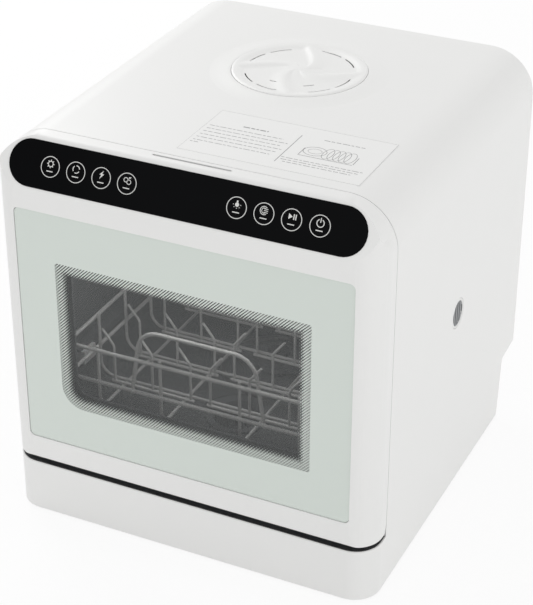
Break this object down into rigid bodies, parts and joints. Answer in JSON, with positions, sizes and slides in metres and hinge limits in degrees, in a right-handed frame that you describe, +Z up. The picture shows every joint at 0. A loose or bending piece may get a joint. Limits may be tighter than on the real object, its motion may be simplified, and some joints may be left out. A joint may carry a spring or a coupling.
{
  "type": "countertop dishwasher",
  "caption": "Countertop dishwasher: arched cabinet, drop-down glass door with touch band, wire rack, spray arm, twist-out filter, vented fill cap over a water tank.",
  "frame": {"origin": "centre of the machine's footprint at the height on which its feet stand", "axes": "+X to the right seen from the front, -Y towards the front, +Z up"},
  "size_m": [0.43, 0.4466, 0.4559],
  "materials": {
    "white_plastic": "satin moulded",
    "panel_plastic": "fine grain",
    "grey_plastic": "moulded",
    "dark_plastic": "moulded",
    "natural_plastic": "translucent moulded",
    "black_gloss": "gloss",
    "rubber": "moulded",
    "mint_glass": "back printed",
    "smoked_glass": "smoked",
    "lamp_lens": "frosted",
    "steel_wire": "coated wire",
    "steel_plate": "pressed",
    "board": "circuit board",
    "heater_steel": "drawn tube"
  },
  "bodies": {
    "cabinet": {"outer_casing": "white_plastic", "rear_panel": "panel_plastic", "base_tray": "grey_plastic", "foot_front_left": "rubber", "foot_front_right": "rubber", "foot_rear_left": "rubber", "foot_rear_right": "rubber", "sill_strip": "rubber", "tub": "grey_plastic", "tub_gasket": "rubber", "sump": "dark_plastic", "filter_plate": "steel_plate", "spray_post": "dark_plastic", "spray_nut": "dark_plastic", "heater_element": "heater_steel", "wash_pump_housing": "dark_plastic", "wash_pump_motor": "steel_plate", "drain_pump_housing": "dark_plastic", "drain_pump_motor": "steel_plate", "drain_hose": "rubber", "drain_spigot": "dark_plastic", "inlet_valve": "natural_plastic", "fill_hose": "natural_plastic", "water_tank": "natural_plastic", "fill_port": "white_plastic", "fan_housing": "dark_plastic", "fan_motor": "steel_plate", "side_grille": "panel_plastic", "power_board": "board", "cord_gland": "rubber", "hinge_arm_left": "steel_plate", "hinge_arm_right": "steel_plate", "door_catch": "natural_plastic", "guide_rail_left": "grey_plastic", "guide_rail_right": "grey_plastic", "tub_lamp": "lamp_lens"},
    "door": {"door_frame": "white_plastic", "door_glass": "mint_glass", "inner_pane": "smoked_glass", "door_liner": "grey_plastic", "control_panel": "black_gloss", "touch_board": "board", "grip_pocket": "rubber", "door_strike": "steel_plate", "hinge_block_left": "dark_plastic", "hinge_block_right": "dark_plastic"},
    "rack": {"rack_front": "steel_wire", "rack_rear": "steel_wire", "rack_left": "steel_wire", "rack_right": "steel_wire", "rack_floor": "steel_wire", "rack_tines": "steel_wire", "rack_handle": "steel_wire", "rack_glides": "natural_plastic"},
    "fill_cap": {"fill_cap": "white_plastic"},
    "spray_arm": {"spray_arm": "natural_plastic"},
    "filter": {"filter_cup": "steel_plate"},
    "wash_wheel": {"wash_impeller": "natural_plastic"},
    "drain_wheel": {"drain_impeller": "natural_plastic"},
    "fan_wheel": {"fan_impeller": "dark_plastic"}
  },
  "joints": [
    {"name": "door_hinge", "type": "hinge", "parent": "cabinet", "child": "door", "pos_m": [0, -0.211, 0.084], "axis": [1, 0, 0], "range_deg": [0, 90]},
    {"name": "rack_slide", "type": "slide", "parent": "cabinet", "child": "rack", "axis": [0, -1, 0], "range_m": [0, 0.112]},
    {"name": "cap_lift", "type": "slide", "parent": "cabinet", "child": "fill_cap", "axis": [0, 0, 1], "range_m": [0, 0.06]},
    {"name": "arm_spin", "type": "hinge", "parent": "cabinet", "child": "spray_arm", "pos_m": [0, 0.013, 0.112], "axis": [0, 0, 1], "continuous": true},
    {"name": "filter_turn", "type": "hinge", "parent": "cabinet", "child": "filter", "pos_m": [0, -0.093, 0.09], "axis": [0, 0, 1], "range_deg": [0, 90]},
    {"name": "wash_spin", "type": "hinge", "parent": "cabinet", "child": "wash_wheel", "pos_m": [0, -0.019, 0.045], "axis": [0, 1, 0], "continuous": true},
    {"name": "drain_spin", "type": "hinge", "parent": "cabinet", "child": "drain_wheel", "pos_m": [-0.074, -0.093, 0.045], "axis": [1, 0, 0], "continuous": true},
    {"name": "fan_spin", "type": "hinge", "parent": "cabinet", "child": "fan_wheel", "pos_m": [0.195, 0.007, 0.2326], "axis": [1, 0, 0], "continuous": true}
  ],
  "couplings": [
    {"joint": "rack_slide", "follows": "door_hinge", "m_per_rad": 0.07}
  ]
}
